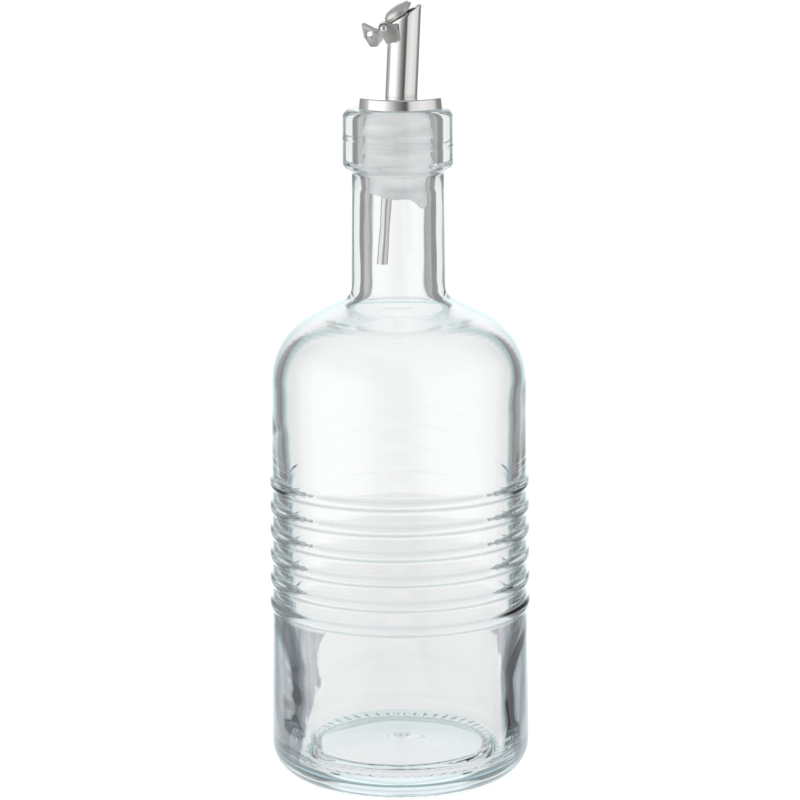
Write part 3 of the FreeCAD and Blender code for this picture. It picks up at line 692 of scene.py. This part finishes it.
def lid_flap(material):
    parts = []

    def include(part, angle=0.0):
        points, faces = part
        parts.append((from_pin(turned(points, X, Z, angle), LID_OPEN), faces))

    dome, dome_faces = lid_dome()
    dome = turned(dome, Y, Z, LID_LEAN) + (LID_CENTRE, 0, LID_LIFT)
    include((dome, dome_faces), MOUTH_SLOPE)
    strap = strip(1.2 * MM, 2.6 * MM, 0.35 * MM, 0.75 * MM)
    include(slab(strap, STRAP_WIDTH, STRAP_WIDTH / 2), MOUTH_SLOPE)
    saddle = np.vstack([arc((0, 0), SADDLE_OUT, 50, 200, 24), arc((0, 0), SADDLE_IN, 200, 50, 24)])
    include(slab(saddle, 2 * (LUG_FACE + SHEET), LUG_FACE + SHEET))
    cheek = np.vstack([arc((0, 0), SADDLE_OUT, 95, 205, 16), corner(0.55, -4.35, 0.6, 190, 262),
                       corner(3.75, -3.95, 0.6, 275, 352), corner(3.55, 0.25, 0.6, 0, 85)])
    for start in (-LUG_FACE, LUG_FACE + SHEET):
        include(slab(cheek, SHEET, start), LUG_TURN)
    for outline, fold in zip(tab_wings(), (-TAB_FOLD, TAB_FOLD)):
        wing, wing_faces = slab(outline, SHEET, SHEET / 2)
        include((turned(wing, Y, Z, fold), wing_faces), TAB_TURN)
    root = strip(1.25 * MM, 2.6 * MM, -SHEET / 2, SHEET / 2)
    include(slab(root, ROOT_WIDTH, ROOT_WIDTH / 2), TAB_TURN)

    vertices, faces, total = [], [], 0
    for points, part_faces in parts:
        vertices.append(points)
        faces += [tuple(index + total for index in face) for face in part_faces]
        total += len(points)
    piece("lid_flap", "steel", np.vstack(vertices), faces, material, "lid", smooth_angle=50)


def hinge_pin(material):
    """Pin with a low domed head on each end, lying along Y."""
    shank, head, dome = 0.6 * MM, 0.95 * MM, 0.42 * MM
    end = LUG_FACE + SHEET
    tilts = np.linspace(0, math.pi / 2, 9)
    half = np.column_stack([head * np.cos(tilts), end + 0.02 * MM + dome * np.sin(tilts)])
    half[-1, 0] = 0
    outline = np.vstack([half[::-1] * (1, -1), [(shank, -end), (shank, end)], half])
    vertices, faces = lathe(outline[:, 0], outline[:, 1], 48)
    vertices = np.column_stack([vertices[:, X], vertices[:, Z], -vertices[:, Y]])
    piece("hinge_pin", "steel", from_pin(vertices, 0.0), faces, material, "lid",
          smooth_angle=40)


# ---------- studio ----------

CAMERA_DISTANCE, CAMERA_HEIGHT = 0.950, 0.295
LENS_DROP = -0.75                            # sensor shift, so that the camera can stay level
TABLE_HALF_WIDTH, TABLE_HALF_DEPTH = 0.062, 0.30
TABLE_FADE = 1.25
TABLE_LIGHT, TABLE_LIGHT_SEEN = 0.72, 0.90
CEILING = (0.36, 0.36, 0.37, 1)
# cards and lights round the object: bearing from the camera in degrees, and brightness
STEEL_LIGHT = 1.3
STEEL_RING = ((-180, 1.0), (-165, 1.0), (-150, 0.22), (-131, 0.30), (-104, 0.45), (-94, 1.0),
              (-50, 1.0), (-36, 0.72), (-12, 0.28), (8, 0.10), (17, 0.08), (27, 0.62), (60, 0.76),
              (104, 0.62), (118, 0.24), (146, 0.15), (162, 1.0), (180, 1.0))
GLASS_RING = ((-180, 1.0), (-159, 1.0), (-152, 0.24), (-134, 0.20), (-123, 0.50), (-98, 0.52),
              (-88, 1.0), (-19, 1.0), (-7, 0.34), (24, 0.34), (38, 0.72), (98, 0.68),
              (108, 0.34), (120, 0.46), (131, 0.22), (152, 0.22), (159, 1.0), (180, 1.0))


def studio_camera(scene):
    camera = bpy.data.objects.new("camera", bpy.data.cameras.new("camera"))
    scene.collection.objects.link(camera)
    scene.camera = camera
    camera.location = (1.2 * MM, -CAMERA_DISTANCE, CAMERA_HEIGHT)
    camera.rotation_euler = (math.radians(90), math.radians(0.29), 0)
    camera.data.sensor_width = 36.0
    camera.data.lens = 139.8
    camera.data.clip_start = 0.05
    # the lens is slid down only while the camera stands at its own spot
    driver = camera.data.driver_add("shift_y").driver
    driver.type = "SCRIPTED"
    for name, channel in (("px", "LOC_Y"), ("pz", "LOC_Z")):
        variable = driver.variables.new()
        variable.name = name
        variable.type = "TRANSFORMS"
        variable.targets[0].id = camera
        variable.targets[0].transform_type = channel
    at_spot = f"abs(px + {CAMERA_DISTANCE}) < 0.0005 and abs(pz - {CAMERA_HEIGHT}) < 0.0005"
    driver.expression = f"{LENS_DROP} if {at_spot} else 0.0"
    return camera


def studio_rig(scene, camera):
    """Empty that turns with the camera; the cards and the table are laid out in its frame."""
    rig = bpy.data.objects.new("studio_rig", None)
    scene.collection.objects.link(rig)
    follow = rig.constraints.new("COPY_ROTATION")
    follow.target = camera
    follow.use_x = False
    follow.use_y = False
    return rig


def light_ring(tree, bearing, stops):
    grey = [((degrees + 180) / 360, (value, value, value)) for degrees, value in stops]
    return ramp(tree, bearing, grey)


def studio_world(scene, rig):
    """Pure white to the camera; to everything else, a ring of cards and lights under a grey ceiling."""
    scene.world = bpy.data.worlds.new("studio")
    scene.world.use_nodes = True
    tree = scene.world.node_tree
    tree.nodes.clear()
    place = add(tree, "ShaderNodeTexCoord", object=rig), "Object"
    split = add(tree, "ShaderNodeSeparateXYZ", {"Vector": place})
    towards_camera = arithmetic(tree, "MULTIPLY", (split, "Y"), -1.0)
    bearing = arithmetic(tree, "ARCTAN2", (split, "X"), towards_camera)
    bearing = across_range(tree, bearing, -math.pi, math.pi)
    in_glass = seen_through_glass(tree)
    ring = mix(tree, in_glass, light_ring(tree, bearing, STEEL_RING), light_ring(tree, bearing, GLASS_RING))
    strength = arithmetic(tree, "MULTIPLY_ADD", in_glass, 1.0 - STEEL_LIGHT, STEEL_LIGHT)
    shade = mix(tree, smooth_range(tree, (split, "Z"), 0.34, 0.62), ring, CEILING)
    light = add(tree, "ShaderNodeBackground", {"Color": shade, "Strength": strength})
    white = add(tree, "ShaderNodeBackground", {"Color": (*WHITE, 1), "Strength": 1.0})
    camera_ray = add(tree, "ShaderNodeLightPath"), "Is Camera Ray"
    choose = add(tree, "ShaderNodeMixShader", {
        "Fac": camera_ray, 1: (light, "Background"), 2: (white, "Background")})
    add(tree, "ShaderNodeOutputWorld", {"Surface": (choose, "Shader")})


def studio_floor(rig):
    """Pale floor.  Only the camera sees all of it; glass and steel see past the edge of a small table."""
    material, tree = new_material("studio_floor")
    camera_ray = add(tree, "ShaderNodeLightPath"), "Is Camera Ray"
    place = add(tree, "ShaderNodeTexCoord", object=rig), "Object"
    share = vector(tree, "DIVIDE", place, (TABLE_HALF_WIDTH, TABLE_HALF_DEPTH, 1))
    beyond = across_range(tree, vector(tree, "LENGTH", share, gives="Value"), 1.0, TABLE_FADE)
    gone = arithmetic(tree, "MULTIPLY", beyond, arithmetic(tree, "SUBTRACT", 1.0, camera_ray))
    glow = add(tree, "ShaderNodeEmission", {
        "Color": (*WHITE, 1),
        "Strength": across_range(tree, camera_ray, 0.0, 1.0, TABLE_LIGHT, TABLE_LIGHT_SEEN)})
    paint = add(tree, "ShaderNodeBsdfDiffuse", {"Color": (0.3, 0.3, 0.3, 1)})
    both = add(tree, "ShaderNodeAddShader", {0: (glow, "Emission"), 1: (paint, "BSDF")})
    clear = add(tree, "ShaderNodeBsdfTransparent")
    table = add(tree, "ShaderNodeMixShader", {"Fac": gone, 1: (both, "Shader"), 2: (clear, "BSDF")})
    add(tree, "ShaderNodeOutputMaterial", {"Surface": (table, "Shader")})
    bpy.ops.mesh.primitive_plane_add(size=16)
    floor = bpy.context.object
    floor.name = "studio_floor"
    floor.data.materials.append(material)


def studio():
    """Camera, lights and floor.  The lights and the floor turn with the camera."""
    scene = bpy.context.scene
    rig = studio_rig(scene, studio_camera(scene))
    studio_world(scene, rig)
    studio_floor(rig)
    scene.view_settings.view_transform = "Standard"
    scene.view_settings.look = "None"
    scene.cycles.max_bounces = 20
    scene.cycles.transmission_bounces = 20
    scene.cycles.glossy_bounces = 8
    scene.cycles.transparent_max_bounces = 16
    scene.cycles.caustics_refractive = True
    scene.cycles.caustics_reflective = True


# ---------- put it together ----------

# the last number of each plug is its painted glow, emission seen only through the glass
soft_plug = plastic_material("soft_plug", (0.95, 0.955, 0.965), 0.45, 0.32, 160.0, 0.41)
stiff_plug = plastic_material("stiff_plug", (0.93, 0.925, 0.91), 0.35, 0.0, 120.0, 0.45)
drawn_steel = steel_material("drawn_steel", (0.87, 0.86, 0.845), 0.10, (900, 900, 30), 0.06)
spun_steel = steel_material("spun_steel", (0.88, 0.87, 0.86), 0.14, (300, 300, 300), 0.03)
satin_steel = steel_material("satin_steel", (0.74, 0.725, 0.71), 0.34, (400, 400, 900), 0.05)

glass_bottle(glass_material())
plug_sleeve(soft_plug)
spout_tube(drawn_steel)
cap_disc(spun_steel)
lid_flap(satin_steel)
hinge_pin(spun_steel)
# these three keep the meshes they came with
for node, material in (("plug_core", stiff_plug), ("air_tube", drawn_steel), ("hinge_bracket", satin_steel)):
    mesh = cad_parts[node].data
    mesh.materials.clear()
    mesh.materials.append(material)

studio()
